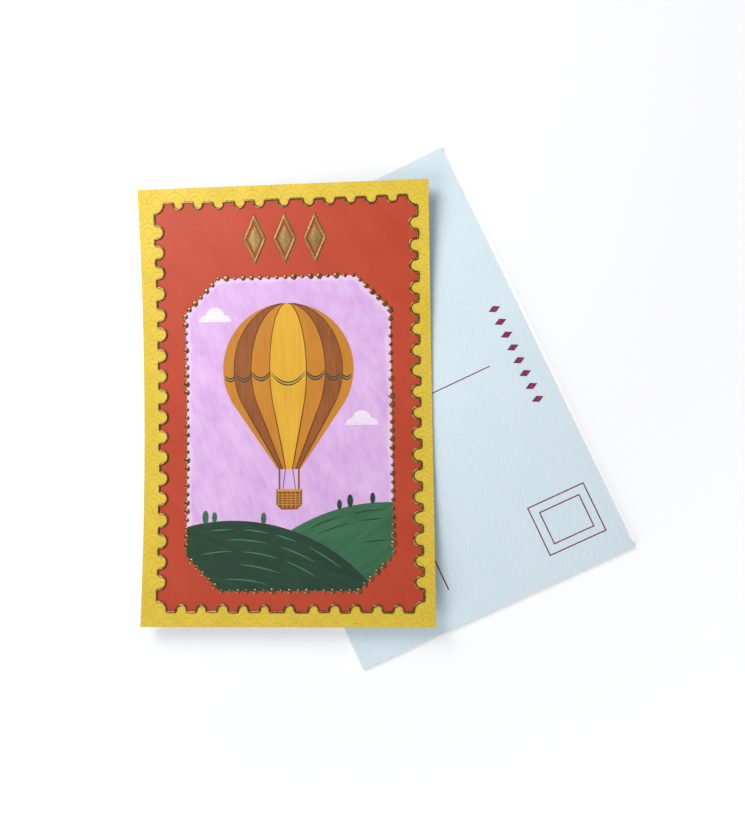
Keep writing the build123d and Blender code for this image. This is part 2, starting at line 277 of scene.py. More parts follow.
# %% Yellow with flecks
def yellow_print():
    """Process yellow on smooth stock: an even film, small dark flecks and the same sheen as the paints."""
    made, tree, place = blank("yellow_offset_print")
    film = pattern(tree, place, width=9, length=9)
    fleck = pattern(tree, place, width=0.6, length=0.6, detail=1.0, spread=(0.70, 0.80))
    tooth = pattern(tree, place, PAPER_TOOTH, PAPER_TOOTH)
    shades = {MIX_FACTOR: film, MIX_FROM: linear("#CEB12F"), MIX_TO: linear("#D4B839")}
    plain = add(tree, "ShaderNodeMix", shades, data_type="RGBA").outputs[MIX_COLOUR]
    surface(tree, fleck, (plain, "#AE912B"), tooth, SATIN, depth=0.01)
    return made


yellow_paper = yellow_print()
print("border:", yellow_paper.name)

# %% Sizes of the panel and of its window
PRINT_SHIFT = 0.8
SIDE_BORDER = 4.8
END_BORDER = 5.1
WINDOW_SIDE_MARGIN = 9.9
WINDOW_TOP_MARGIN = 26.6
WINDOW_FOOT_MARGIN = 6.9
WINDOW_CHAMFER = 12.0

PANEL_WIDTH = CARD_WIDTH - 2 * SIDE_BORDER
PANEL_LENGTH = CARD_LENGTH - 2 * END_BORDER
WINDOW_HALF_WIDTH = PANEL_WIDTH / 2 - WINDOW_SIDE_MARGIN
WINDOW_TOP = PANEL_LENGTH / 2 - WINDOW_TOP_MARGIN
WINDOW_FOOT = WINDOW_FOOT_MARGIN - PANEL_LENGTH / 2
WINDOW_HALF_LENGTH = (WINDOW_TOP - WINDOW_FOOT) / 2
WINDOW_Y = (WINDOW_TOP + WINDOW_FOOT) / 2
print(f"window {2 * WINDOW_HALF_WIDTH:.1f} x {2 * WINDOW_HALF_LENGTH:.1f} mm, middle at y {WINDOW_Y:.1f}")

# %% Lilac with a lighter band along the edge
EDGE_BAND = 1.4
MILKINESS = 0.6


def lilac_wash():
    """Thin gouache: broad visible strokes and a milky band along the edge of the window."""
    made, tree, place = blank("gouache_lilac_wash")
    centred = add(tree, "ShaderNodeMapping", {"Vector": place, "Location": (0, -WINDOW_Y * MM, 0)})
    folded = add(tree, "ShaderNodeVectorMath", {0: centred}, operation="ABSOLUTE")
    half_sizes = (WINDOW_HALF_WIDTH * MM, WINDOW_HALF_LENGTH * MM, 0)
    inside = add(tree, "ShaderNodeVectorMath", {0: half_sizes, 1: folded}, operation="SUBTRACT")
    from_side, from_end, _ = add(tree, "ShaderNodeSeparateXYZ", {0: inside}).outputs
    both = add(tree, "ShaderNodeMath", {0: from_side, 1: from_end}, operation="ADD")
    from_cut = add(tree, "ShaderNodeMath", {0: both, 1: WINDOW_CHAMFER * MM}, operation="SUBTRACT")
    square_on = add(tree, "ShaderNodeMath", {0: from_cut, 1: sqrt(0.5)}, operation="MULTIPLY")
    nearest = add(tree, "ShaderNodeMath", {0: from_side, 1: from_end}, operation="MINIMUM")
    edge = add(tree, "ShaderNodeMath", {0: nearest, 1: square_on}, operation="MINIMUM")
    wobble = pattern(tree, place, width=5, length=9, lean=15)
    ragged = add(tree, "ShaderNodeMath", {0: wobble, 1: EDGE_BAND * MM, 2: edge}, operation="MULTIPLY_ADD")
    reach = {"Value": ragged, "From Min": 2 * EDGE_BAND * MM, "From Max": EDGE_BAND * MM, "To Max": MILKINESS}
    band = add(tree, "ShaderNodeMapRange", reach, interpolation_type="SMOOTHSTEP")
    broad = pattern(tree, place, width=9, length=15, lean=30, detail=5.0)
    bristle = pattern(tree, place, width=1.6, length=4, lean=20, detail=5.0)
    tooth = pattern(tree, place, PAPER_TOOTH, PAPER_TOOTH)
    tone = mingle(tree, bristle, broad, share=0.4)
    shades = {MIX_FACTOR: tone, MIX_FROM: linear("#C599CD"), MIX_TO: linear("#D5B2DB")}
    strokes = add(tree, "ShaderNodeMix", shades, data_type="RGBA").outputs[MIX_COLOUR]
    surface(tree, band, (strokes, "#DEC8E2"), tooth, SATIN, depth=0.012)
    return made


lilac_paint = lilac_wash()
print("window ground:", lilac_paint.name)

# %% [markdown]
# ## Foil and line inks
# Hot-stamped foil is a film of metal a few microns thick, pressed into the board with a heated die. It takes
# on the tooth of the paper, so it looks satin and speckled, not like a mirror. A soft gold is for the title.
# The ridge and the beads are the same foil, glossier, and coloured a darker copy of the gold: painted
# shade for the dark room that they mirror. The line inks are thin: the wine red of the back breaks up a
# little on the felt, and the border's lines are a deeper yellow.

# %% Foil and inks
def stamped_foil(name, deep, pale, roughness):
    """Metal film in two shades: fully metal, satin, with pits where it bridges the paper's tooth."""
    made, tree, place = blank(f"hot_stamped_{name}_foil")
    pits = pattern(tree, place, width=0.7, length=0.7, detail=4.0)
    haze = pattern(tree, place, width=4, length=7, lean=30)
    tone = mingle(tree, pits, haze, share=0.55)
    surface(tree, tone, (deep, pale), pits, {"Metallic": 1.0, "Roughness": roughness}, depth=0.012)
    return made


def line_ink(name, full, worn):
    """A thin line of ink: full where the plate pressed, paler where the tooth of the paper held it off."""
    made, tree, place = blank(f"line_ink_{name}")
    tooth = pattern(tree, place, width=0.7, length=0.7, detail=4.0, spread=(0.45, 0.75))
    dull = {"Roughness": 0.7, "Specular IOR Level": 0.25}
    surface(tree, tooth, (full, worn), tooth, dull, depth=0.01)
    return made


gold_foil = stamped_foil("gold", "#7B663B", "#A18B56", roughness=0.40)
# The second foil's darker colour is painted shade: the same gold, darkened for the dark room that it mirrors.
shaded_gold_foil = stamped_foil("shaded_gold", "#5A4629", "#967D4E", roughness=0.24)
wine_ink = line_ink("wine", "#74214B", "#945275")
border_ink = line_ink("deep_yellow", "#BA9E31", "#C6AC39")
umber_ink = line_ink("umber", "#5F3314", "#7A4B22")
straw_ink = line_ink("straw", "#C59541", "#AF7F33")
moss_ink = line_ink("moss", "#427655", "#336646")
thin_films = (gold_foil, shaded_gold_foil, wine_ink, border_ink, umber_ink, straw_ink, moss_ink)
print("foils and inks:", [film.name for film in thin_films])

# %% [markdown]
# ## From an outline to a printed layer
# A printed layer is a flat shape with a hair of thickness. A filled curve would make one, but its fill is a
# fan of long triangles that can't bend. Here the outline is filled, cut into strips across the card, and
# lifted to its thickness, so the strips can follow the bow. Laying it on the cards comes last, in one place.

# %% Cut into strips
STRIP = 3.0
TINY = 1e-7


def slice_mesh(made, spot, normal, clear_outer=False):
    """Cut a mesh along a plane through a spot, and take away what lies beyond it if asked."""
    everything = [*made.verts, *made.edges, *made.faces]
    plane = {"plane_co": spot, "plane_no": normal, "clear_outer": clear_outer}
    bmesh.ops.bisect_plane(made, geom=everything, dist=TINY, **plane)


def cut_strips(made):
    """Cut a flat mesh across the card at every strip, so that it can bend there."""
    heights = [corner.co.y / MM for corner in made.verts]
    for strip in range(ceil(min(heights) / STRIP), floor(max(heights) / STRIP) + 1):
        slice_mesh(made, (0, strip * STRIP * MM, 0), (0, 1, 0))


print(f"a cut every {STRIP} mm along the card")

# %% Fill and lift
SHARP = radians(30)


def as_mesh(made, name):
    """A bmesh as a mesh that shades smooth, but for its sharp edges."""
    mesh = bpy.data.meshes.new(name)
    made.to_mesh(mesh)
    made.free()
    mesh.shade_smooth()
    mesh.set_sharp_from_angle(angle=SHARP)
    return mesh


def printed(name, shapes, bottom, top):
    """Flat shapes, each a list of an outline and its holes in mm, as solids between two heights in mm."""
    made = bmesh.new()
    for loops in shapes:
        edges = []
        for loop in loops:
            corners = [made.verts.new((x * MM, y * MM, bottom * MM)) for x, y in loop]
            edges += [made.edges.new(pair) for pair in zip(corners, corners[1:] + corners[:1])]
        bmesh.ops.triangle_fill(made, use_beauty=True, edges=edges)
    cut_strips(made)
    lifted = bmesh.ops.extrude_face_region(made, geom=made.faces[:], use_keep_orig=True)["geom"]
    corners = [item for item in lifted if isinstance(item, bmesh.types.BMVert)]
    bmesh.ops.translate(made, verts=corners, vec=(0, 0, (top - bottom) * MM))
    bmesh.ops.recalc_face_normals(made, faces=made.faces)
    return as_mesh(made, name)


print(f"edges over {degrees(SHARP):.0f} degrees stay sharp")

# %% Lay a mesh on both cards, and a printed layer as a whole
def show(name, data):
    """A new object in the scene that holds this mesh, light or camera."""
    made = bpy.data.objects.new(name, data)
    bpy.context.scene.collection.objects.link(made)
    return made


def put(part, mesh, finish=None, node=None, shift=PRINT_SHIFT):
    """One piece on each card, riding with it, in this finish, in place of the node it is for, which is
    hidden.
    The face's print lies this far to the right of the card's middle."""
    if finish:
        mesh.materials.append(finish)
    flat = np.empty(3 * len(mesh.vertices))
    mesh.vertices.foreach_get("co", flat)
    place = mesh.attributes.new("card", "FLOAT_VECTOR", "POINT")
    place.data.foreach_set("vector", flat.astype(np.float32))
    shifted = flat.reshape(-1, 3) + np.array([shift * MM, 0, 0])
    for card, lay in (("upper", lay_upper), ("lower", lay_lower)):
        laid = mesh.copy()
        laid.vertices.foreach_set("co", lay(shifted).astype(np.float32).ravel())
        laid.update()
        piece = show(f"{card}_{part}", laid)
        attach(piece, f"{card}_card")
        if node:
            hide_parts(f"{card}_{node}")
    print(f"{part}: {len(mesh.polygons)} faces on each card")


def layer(part, shapes, finish, node, shift=PRINT_SHIFT):
    """A printed layer between the heights that the frame gives for its node, laid on both cards."""
    put(part, printed(part, shapes, *levels(node)), finish, node, shift)


print(f"the face's print lies {PRINT_SHIFT} mm to the right of the card's middle")

# %% [markdown]
# ## The three plies
# A postcard is a board faced with a paper on each side, glued and then cut in one stroke, so all three plies
# share one outline. Each is a plain sheet between the heights that the frame gives.

# %% Back paper, board and face paper
def rectangle(width, length, x=0.0, y=0.0):
    """Four corners around a middle, anticlockwise from the lower left."""
    left, right, foot, top = x - width / 2, x + width / 2, y - length / 2, y + length / 2
    return [(left, foot), (right, foot), (right, top), (left, top)]


sheet = [[rectangle(CARD_WIDTH, CARD_LENGTH)]]
layer("back_paper", sheet, blue_paper, "back_ply", shift=0)
layer("pulp_core", sheet, white_board, "core_board", shift=0)
layer("face_paper", sheet, yellow_paper, "face_ply", shift=0)

# %% [markdown]
# ## The stamp panel
# The panel is drawn like a postage stamp: round tabs of the border bite into its edge. They were drawn by
# hand, so no two are alike. A boolean with circles would give a machine's edge. Here a path walks round the
# panel, and at each tab it takes an arc whose size, place and footing vary a little, from a fixed seed.

# %% One side of the scalloped edge
END_MARGIN, END_PITCH, END_TAB_RADIUS, END_TAB_INSET, MIDDLE_TAB_GAP = 8.65, 7.17, 1.76, 0.5, 1.43
SIDE_MARGIN, SIDE_PITCH, SIDE_TAB_RADIUS, SIDE_TAB_INSET = 9.6, 7.24, 2.23, 0.7
CORNER_RADIUS = 3.5
TAB_FLARE = 0.16
ARC_STEPS = 12
HAND_SHIFT, HAND_DEPTH, HAND_RADIUS = 0.25, 0.2, 0.12


def arc(x, y, radius, start, end, steps=ARC_STEPS):
    """Points along an arc from one angle to another, in radians."""
    turns = [start + (end - start) * step / steps for step in range(steps + 1)]
    return [(x + radius * cos(turn), y + radius * sin(turn)) for turn in turns]


def tab_places(length, margin, pitch, middle_gap=0.0):
    """Tab places from the start of a side: even steps, with more room on each side of a middle tab."""
    span = length - 2 * (margin + middle_gap)
    steps = round(span / pitch)
    places = [span * (step / steps - 0.5) for step in range(steps + 1)]
    return [length / 2 + place + (copysign(middle_gap, place) if place else 0) for place in places]


def scalloped_side(length, places, radius, inset, hand):
    """One side of the panel as (along, inwards) points, from the middle of one cut corner to the next."""
    depths = [hand.uniform(-HAND_DEPTH, HAND_DEPTH) for _ in range(len(places) + 1)]
    points = arc(0, 0, CORNER_RADIUS, pi / 4, asin(depths[0] / CORNER_RADIUS), ARC_STEPS // 2)
    for place, before, after in zip(places, depths, depths[1:]):
        along = place + hand.uniform(-HAND_SHIFT, HAND_SHIFT)
        size = radius + hand.uniform(-HAND_RADIUS, HAND_RADIUS)
        points += [(along - size - TAB_FLARE, before), *arc(along, inset, size, pi, 0)]
        points += [(along + size + TAB_FLARE, after)]
    points += arc(length, 0, CORNER_RADIUS, pi - asin(depths[-1] / CORNER_RADIUS), 3 * pi / 4, ARC_STEPS // 2)
    return points[1:]


end_places = tab_places(PANEL_WIDTH, END_MARGIN, END_PITCH, MIDDLE_TAB_GAP)
side_places = tab_places(PANEL_LENGTH, SIDE_MARGIN, SIDE_PITCH)
print("tabs:", len(end_places), "on each short end,", len(side_places), "on each long side")

# %% Soften the corners of an outline
CORNER_SOFTNESS = 0.42
SOFTEN_OVER = 35.0
SOFT_SHARES = (0, 0.33, 0.67, 1)


def soften(points, reach):
    """Round the sharp corners of a closed outline, this far each way or to the middle of a short side."""
    made = []
    for before, corner, after in zip(points[-1:] + points[:-1], points, points[1:] + points[:1]):
        back = np.subtract(before, corner)
        ahead = np.subtract(after, corner)
        sizes = np.linalg.norm(back), np.linalg.norm(ahead)
        turn = 180 - degrees(acos(np.clip(back @ ahead / (sizes[0] * sizes[1]), -1, 1)))
        if turn < SOFTEN_OVER:
            made.append(corner)
            continue
        start = corner + back * min(reach / sizes[0], 0.5)
        end = corner + ahead * min(reach / sizes[1], 0.5)
        for share in SOFT_SHARES:
            towards = start * (1 - share) + np.array(corner) * share
            away = np.array(corner) * (1 - share) + end * share
            made.append(tuple(towards * (1 - share) + away * share))
    return made


plain_panel = rectangle(PANEL_WIDTH, PANEL_LENGTH)
print("a plain panel with soft corners has", len(soften(plain_panel, CORNER_SOFTNESS)), "points")

# %% All four sides
EDGE_SEED = 7


def stamp_path():
    """The scalloped edge as one closed outline in mm."""
    hand = Random(EDGE_SEED)
    half_width, half_length = PANEL_WIDTH / 2, PANEL_LENGTH / 2
    end_tabs = end_places, END_TAB_RADIUS, END_TAB_INSET
    side_tabs = side_places, SIDE_TAB_RADIUS, SIDE_TAB_INSET
    foot, right, top, left = [
        scalloped_side(length, *tabs, hand)
        for length, tabs in 2 * [(PANEL_WIDTH, end_tabs), (PANEL_LENGTH, side_tabs)]
    ]
    points = [(along - half_width, inwards - half_length) for along, inwards in foot]
    points += [(half_width - inwards, along - half_length) for along, inwards in right]
    points += [(half_width - along, half_length - inwards) for along, inwards in top]
    points += [(inwards - half_width, half_length - along) for along, inwards in left]
    return soften(points, CORNER_SOFTNESS)


stamp_edge = stamp_path()
print("scalloped edge:", len(stamp_edge), "points")

# %% The red panel with its window cut out, and the lilac ground in the window
def window(inset=0.0):
    """The window's outline, or a like one that stays this far inside it."""
    across, along = WINDOW_HALF_WIDTH - inset, WINDOW_HALF_LENGTH - inset
    cut = WINDOW_CHAMFER - inset * (2 - sqrt(2))
    quarter = [(across, along - cut), (across - cut, along)]
    right = [*[(x, -y) for x, y in reversed(quarter)], *quarter]
    return [(x, y + WINDOW_Y) for x, y in [*right, *[(-x, y) for x, y in reversed(right)]]]


layer("red_panel", [[stamp_edge, window()]], red_paint, "panel_ink")
layer("lilac_ground", [[window()]], lilac_paint, "window_ink")

# %% [markdown]
# ## One node tree for every raised line
# The foil ridge on the scalloped edge, the seams of the balloon and the furrows on the hills are all a line
# with a half-round section. A bevelled curve object could draw each, but Geometry Nodes keep the rule in one
# place: take a path, sweep a half-round along it, thin it towards its ends if asked, and give it its finish.

# %% Start and end a tree
def new_tree(name, **kinds):
    """An empty Geometry Nodes tree from a path to a mesh, with one named input of each kind."""
    tree = bpy.data.node_groups.new(name, "GeometryNodeTree")
    tree.interface.new_socket("Path", in_out="INPUT", socket_type="NodeSocketGeometry")
    for label, kind in kinds.items():
        tree.interface.new_socket(label, in_out="INPUT", socket_type=f"NodeSocket{kind}")
    tree.interface.new_socket("Mesh", in_out="OUTPUT", socket_type="NodeSocketGeometry")
    return tree, add(tree, "NodeGroupInput").outputs


def end_tree(tree, geometry, finish):
    """Real meshes with their finish, which is what a tree has to hand on."""
    real = add(tree, "GeometryNodeRealizeInstances", {"Geometry": geometry})
    done = add(tree, "GeometryNodeSetMaterial", {"Geometry": real, "Material": finish})
    add(tree, "NodeGroupOutput", {"Mesh": done})


print("helpers: new_tree and end_tree")

# %% The tree for raised lines
PROFILE_POINTS = 7


def raised_line_tree():
    tree, given = new_tree("raised_line", Width="Float", Height="Float", Taper="Float", Finish="Material")
    path = add(tree, "GeometryNodeMeshToCurve", {"Mesh": given["Path"]})
    level = add(tree, "GeometryNodeSetCurveNormal", {"Curve": path}, mode="Z_UP")
    half_disc = {"Radius": 1.0, "Start Angle": pi, "Sweep Angle": pi, "Connect Center": True}
    half_disc["Resolution"] = PROFILE_POINTS
    profile = add(tree, "GeometryNodeCurveArc", half_disc, mode="RADIUS")
    half = add(tree, "ShaderNodeMath", {0: given["Width"], 1: 0.5}, operation="MULTIPLY")
    size = add(tree, "ShaderNodeCombineXYZ", {"X": half, "Y": given["Height"], "Z": 1.0})
    section = add(tree, "GeometryNodeTransform", {"Geometry": profile, "Scale": size})
    along = add(tree, "GeometryNodeSplineParameter").outputs["Factor"]
    from_middle = add(tree, "ShaderNodeMath", {0: along, 1: 2.0, 2: -1.0}, operation="MULTIPLY_ADD")
    squared = add(tree, "ShaderNodeMath", {0: from_middle, 1: from_middle}, operation="MULTIPLY")
    lost = add(tree, "ShaderNodeMath", {0: squared, 1: given["Taper"]}, operation="MULTIPLY")
    kept = add(tree, "ShaderNodeMath", {0: 1.0, 1: lost}, operation="SUBTRACT")
    sweep = {"Curve": level, "Profile Curve": section, "Scale": kept, "Fill Caps": True}
    end_tree(tree, add(tree, "GeometryNodeCurveToMesh", sweep), given["Finish"])
    return tree


raised_line = raised_line_tree()
print("tree", raised_line.name, "has", len(raised_line.nodes), "nodes")

# %% Run a tree along some paths
def path_object(name, paths, height, closed):
    """Paths in mm at one height, as an object of bare edges."""
    corners, edges = [], []
    for path in paths:
        first = len(corners)
        corners += [(x * MM, y * MM, height * MM) for x, y in path]
        edges += [(at, at + 1) for at in range(first, len(corners) - 1)]
        if closed:
            edges.append((len(corners) - 1, first))
    mesh = bpy.data.meshes.new(name)
    mesh.from_pydata(corners, edges, [])
    return show(name, mesh)


def grow(tree, host, **values):
    """Run a tree on an object with these inputs, and return what it made as a plain mesh."""
    modifier = host.modifiers.new(tree.name, "NODES")
    modifier.node_group = tree
    for socket in tree.interface.items_tree:
        if socket.name in values:
            modifier[socket.identifier] = values[socket.name]
    graph = bpy.context.evaluated_depsgraph_get()
    mesh = bpy.data.meshes.new_from_object(host.evaluated_get(graph))
    host.modifiers.remove(modifier)
    bpy.data.objects.remove(host)
    mesh.shade_smooth()
    mesh.set_sharp_from_angle(angle=2 * SHARP)
    return mesh


def lines(part, paths, base, width, height, finish, closed=False, taper=0.0):
    """Raised lines along paths, standing on a layer at this height, as a flat mesh. Sizes are in mm."""
    host = path_object(part, paths, base, closed)
    return grow(raised_line, host, Width=width * MM, Height=height * MM, Taper=taper, Finish=finish)


print("helpers: path_object, grow and lines")

# %% [markdown]
# ## The foil edge
# The die raises the board along the scalloped edge and lays foil over it in one blow. The ridge has a rounded
# top, so one flank catches the window light as a thin bright line and the other goes dark.

# %% Sweep the ridge
EDGE_FOIL_WIDTH = 0.8
foil_base, foil_top = levels("stamp_edge_foil")
foil_rise = foil_top - foil_base
ridge = lines("stamp_edge", [stamp_edge], foil_base, EDGE_FOIL_WIDTH, foil_rise, shaded_gold_foil, closed=True)
heights = [corner.co.z / MM for corner in ridge.vertices]
print(f"ridge from {min(heights):.2f} to {max(heights):.2f} mm, asked {foil_base:.2f} to {foil_top:.2f}")
put("stamp_edge", ridge, node="stamp_edge_foil")

# %% [markdown]
# ## Beads around the window
# A string of small foil domes hides the line where the red meets the lilac. They were drawn by hand too, some
# full and some small. Geometry Nodes set one low dome along the window's outline at even steps and scale each
# by a seeded random size.

# %% A dome
BEAD_RADIUS = 0.98
BEAD_SEGMENTS = 10
BEAD_SECTION = [(1.0, 0.0), (0.94, 0.42), (0.78, 0.76), (0.45, 0.96)]
bead_base, bead_top = levels("bead_foil")


def bead_dome():
    """A dome with steep sides and a flat foot, as an object that a tree can repeat."""
    made = bmesh.new()
    turns = [2 * pi * step / BEAD_SEGMENTS for step in range(BEAD_SEGMENTS)]
    rings = []
    for share, rise in BEAD_SECTION:
        size, height = share * BEAD_RADIUS * MM, rise * (bead_top - bead_base) * MM
        rings.append([made.verts.new((size * cos(turn), size * sin(turn), height)) for turn in turns])
    for lower, upper in zip(rings, rings[1:]):
        for at in range(BEAD_SEGMENTS):
            made.faces.new([lower[at - 1], lower[at], upper[at], upper[at - 1]])
    crown = made.verts.new((0, 0, (bead_top - bead_base) * MM))
    for at in range(BEAD_SEGMENTS):
        made.faces.new([rings[-1][at - 1], rings[-1][at], crown])
    made.faces.new(reversed(rings[0]))
    return bpy.data.objects.new("bead_dome", as_mesh(made, "bead_dome"))


print(f"dome {2 * BEAD_RADIUS:.2f} mm wide, {bead_top - bead_base:.2f} mm high")

# %% A tree that strings the dome along a path
BEAD_PITCH = 2.97
SMALLEST_BEAD, LARGEST_BEAD = 0.62, 1.16
BEAD_SEED = 3
RANDOM_MIN, RANDOM_MAX, RANDOM_VALUE = 2, 3, 1


def bead_tree():
    sizes = {"Bead": "Object", "Count": "Int", "Smallest": "Float", "Largest": "Float", "Seed": "Int"}
    tree, given = new_tree("beads_along_path", **sizes, Finish="Material")
    path = add(tree, "GeometryNodeMeshToCurve", {"Mesh": given["Path"]})
    spots = add(tree, "GeometryNodeCurveToPoints", {"Curve": path, "Count": given["Count"]}, mode="COUNT")
    dome = add(tree, "GeometryNodeObjectInfo", {"Object": given["Bead"]}).outputs["Geometry"]
    span = {RANDOM_MIN: given["Smallest"], RANDOM_MAX: given["Largest"], "Seed": given["Seed"]}
    size = add(tree, "FunctionNodeRandomValue", span).outputs[RANDOM_VALUE]
    full = add(tree, "ShaderNodeMath", {0: size, 1: 1.0}, operation="MINIMUM")
    scale = add(tree, "ShaderNodeCombineXYZ", {"X": size, "Y": size, "Z": full})
    beads = add(tree, "GeometryNodeInstanceOnPoints", {"Points": spots, "Instance": dome, "Scale": scale})
    end_tree(tree, beads, given["Finish"])
    return tree


outline = window()
around = sum(hypot(x - u, y - v) for (x, y), (u, v) in zip(outline, outline[1:] + outline[:1]))
host = path_object("window_beads", [outline], bead_base, True)
string = {"Bead": bead_dome(), "Count": round(around / BEAD_PITCH)}
string |= {"Smallest": SMALLEST_BEAD, "Largest": LARGEST_BEAD, "Seed": BEAD_SEED}
beads = grow(bead_tree(), host, **string, Finish=shaded_gold_foil)
put("window_beads", beads, node="bead_foil")

# %% [markdown]
# ## Title ornaments
# Three lozenges stand in a row over the window, stamped in the softer gold. Each is a bevelled rim around a
# low pyramid. A Bevel modifier would round every edge alike, and a die-cut ornament has a different slope on
# each part, so the section is written out: how far in from the outline, and how high.

# %% One lozenge
TITLE_WIDTH = 8.2
TITLE_HEIGHT = 17.6
title_base, title_top = levels("title_foil")
TITLE_FOIL = title_top - title_base
RIM_SECTION = [(0.0, 0.0), (0.22, 0.8), (0.4, 1.0), (0.7, 1.0), (0.88, 0.8), (1.1, 0.0)]
CORE_SECTION = [(1.6, 0.0), (1.75, 0.55)]


def lozenge(width, height, x=0.0, y=0.0, inset=0.0):
    """A lozenge, or a like shape that stays this far inside it."""
    kept = 1 - inset * 2 * hypot(width, height) / (width * height)
    across, along = kept * width / 2, kept * height / 2
    return [(x, y - along), (x + across, y), (x, y + along), (x - across, y)]


def stamped_lozenge(made, x, y):
    """A rim and a pyramid inside it, added to a bmesh."""
    def loop(inset, rise):
        height = title_base + rise * TITLE_FOIL
        corners = lozenge(TITLE_WIDTH, TITLE_HEIGHT, x, y, inset)
        return [made.verts.new((u * MM, v * MM, height * MM)) for u, v in corners]

    rim = [loop(*step) for step in RIM_SECTION]
    core = [loop(*step) for step in CORE_SECTION]
    for outer, inner in [*zip(rim, rim[1:] + rim[:1]), *zip(core, core[1:])]:
        for at in range(4):
            made.faces.new([outer[at], outer[at - 1], inner[at - 1], inner[at]])
    peak = made.verts.new((x * MM, y * MM, title_top * MM))
    for at in range(4):
        made.faces.new([core[-1][at], core[-1][at - 1], peak])
    made.faces.new(core[0])


print(f"lozenge {TITLE_WIDTH} x {TITLE_HEIGHT} mm, {TITLE_FOIL:.2f} mm high")

# %% Three in a row
TITLE_COUNT = 3
TITLE_PITCH = 10.6
TITLE_Y = (PANEL_LENGTH / 2 + WINDOW_TOP) / 2
TITLE_SHARP = radians(3)

ornament = bmesh.new()
for step in range(TITLE_COUNT):
    stamped_lozenge(ornament, TITLE_PITCH * (step - (TITLE_COUNT - 1) / 2), TITLE_Y)
bmesh.ops.recalc_face_normals(ornament, faces=ornament.faces)
title = as_mesh(ornament, "title_lozenges")
title.set_sharp_from_angle(angle=TITLE_SHARP)
put("title_lozenges", title, gold_foil, "title_foil")

# %% [markdown]
# ## The picture: hills
# The window shows a balloon over two round hills. The shapes are cut from circles and from the window itself,
# whose edge the beads cover. Clipping an outline against a shape with no hollows takes a dozen lines, side by
# side, and needs no boolean modifier.

# %% Clip an outline, and find where two circles cross
def clip(points, fence):
    """The part of an outline inside a fence, whose corners run anticlockwise and have no hollows."""
    for (x0, y0), (x1, y1) in zip(fence, fence[1:] + fence[:1]):
        kept = []
        sides = [(x1 - x0) * (y - y0) - (y1 - y0) * (x - x0) for x, y in points]
        for at, (x, y) in enumerate(points):
            (px, py), before, here = points[at - 1], sides[at - 1], sides[at]
            if (before < 0) != (here < 0):
                share = before / (before - here)
                kept.append((px + share * (x - px), py + share * (y - py)))
            if here >= 0:
                kept.append((x, y))
        points = kept
    return points


def crossing(x0, y0, r0, x1, y1, r1):
    """The upper point where two circles cross."""
    apart = hypot(x1 - x0, y1 - y0)
    along = (apart ** 2 + r0 ** 2 - r1 ** 2) / (2 * apart)
    rise = sqrt(r0 ** 2 - along ** 2)
    ux, uy = (x1 - x0) / apart, (y1 - y0) / apart
    rise = copysign(rise, ux)
    return x0 + along * ux - rise * uy, y0 + along * uy + rise * ux


print("unit circles 1 apart cross at height", round(crossing(0, 0, 1, 1, 0, 1)[1], 3))

# %% The two hills
PICTURE_INSET = 0.02
HILL_RADIUS = 64.0
NEAR_HILL_X, NEAR_HILL_HEIGHT = -20.0, 24.0
FAR_HILL_X, FAR_HILL_HEIGHT = 34.0, 30.0
HILL_STEPS = 90

near_y = WINDOW_FOOT + NEAR_HILL_HEIGHT - HILL_RADIUS
far_y = WINDOW_FOOT + FAR_HILL_HEIGHT - HILL_RADIUS
view = window(PICTURE_INSET)
meet_x, _ = crossing(NEAR_HILL_X, near_y, HILL_RADIUS, FAR_HILL_X, far_y, HILL_RADIUS)
near_turn = acos((meet_x - NEAR_HILL_X) / HILL_RADIUS)
far_turn = acos((meet_x - FAR_HILL_X) / HILL_RADIUS)
near_hill = clip(arc(NEAR_HILL_X, near_y, HILL_RADIUS, 0, 2 * pi, 2 * HILL_STEPS)[1:], view)
far_hill = arc(FAR_HILL_X, far_y, HILL_RADIUS, 0, far_turn, HILL_STEPS)
far_hill += arc(NEAR_HILL_X, near_y, HILL_RADIUS, near_turn, 0, HILL_STEPS)[1:]
far_hill = clip(far_hill, view)
layer("near_hill", [[near_hill]], dark_green_paint, "near_hill_ink")
layer("far_hill", [[far_hill]], green_paint, "far_hill_ink")

# %% [markdown]
# ## The picture: balloon, basket and clouds
# The balloon is a circle drawn in by two straight sides to its mouth. Its seams keep a fixed share of the
# half width all the way down, which is how a round thing sewn from equal gores looks from the side.

# %% The balloon and its gores
BALLOON_TOP_GAP = 9.0
BALLOON_SLENDERNESS = 2.52
MOUTH_WIDTH = 8.0
CROWN_WIDTH = 5.0
BASKET_WIDTH, BASKET_HEIGHT, BASKET_DROP, BASKET_CLEARANCE = 9.0, 7.0, 7.0, 3.7
LIGHT_GORE_EDGE = 0.28
DARK_GORE = (0.57, 0.83)
SEAM_STEPS = 40

BASKET_TOP = WINDOW_FOOT + NEAR_HILL_HEIGHT + BASKET_CLEARANCE + BASKET_HEIGHT
MOUTH_Y = BASKET_TOP + BASKET_DROP
CROWN_Y = WINDOW_TOP - BALLOON_TOP_GAP
BALLOON_RADIUS = (CROWN_Y - MOUTH_Y) / BALLOON_SLENDERNESS
BALLOON_Y = CROWN_Y - BALLOON_RADIUS
REACH = hypot(MOUTH_WIDTH / 2, BALLOON_Y - MOUTH_Y)
SHOULDER = acos(BALLOON_RADIUS / REACH) - acos(MOUTH_WIDTH / 2 / REACH)


def seam(share, start=acos(CROWN_WIDTH / 2 / BALLOON_RADIUS)):
    """Points down a seam, which keeps this share of the half width from the crown to the mouth."""
    side = arc(0, BALLOON_Y, BALLOON_RADIUS, start, SHOULDER, SEAM_STEPS)
    return [(share * x, y) for x, y in [*side, (MOUTH_WIDTH / 2, MOUTH_Y)]]


def gore(left, right):
    """The stripe between two seams."""
    return [*seam(left), *reversed(seam(right))]


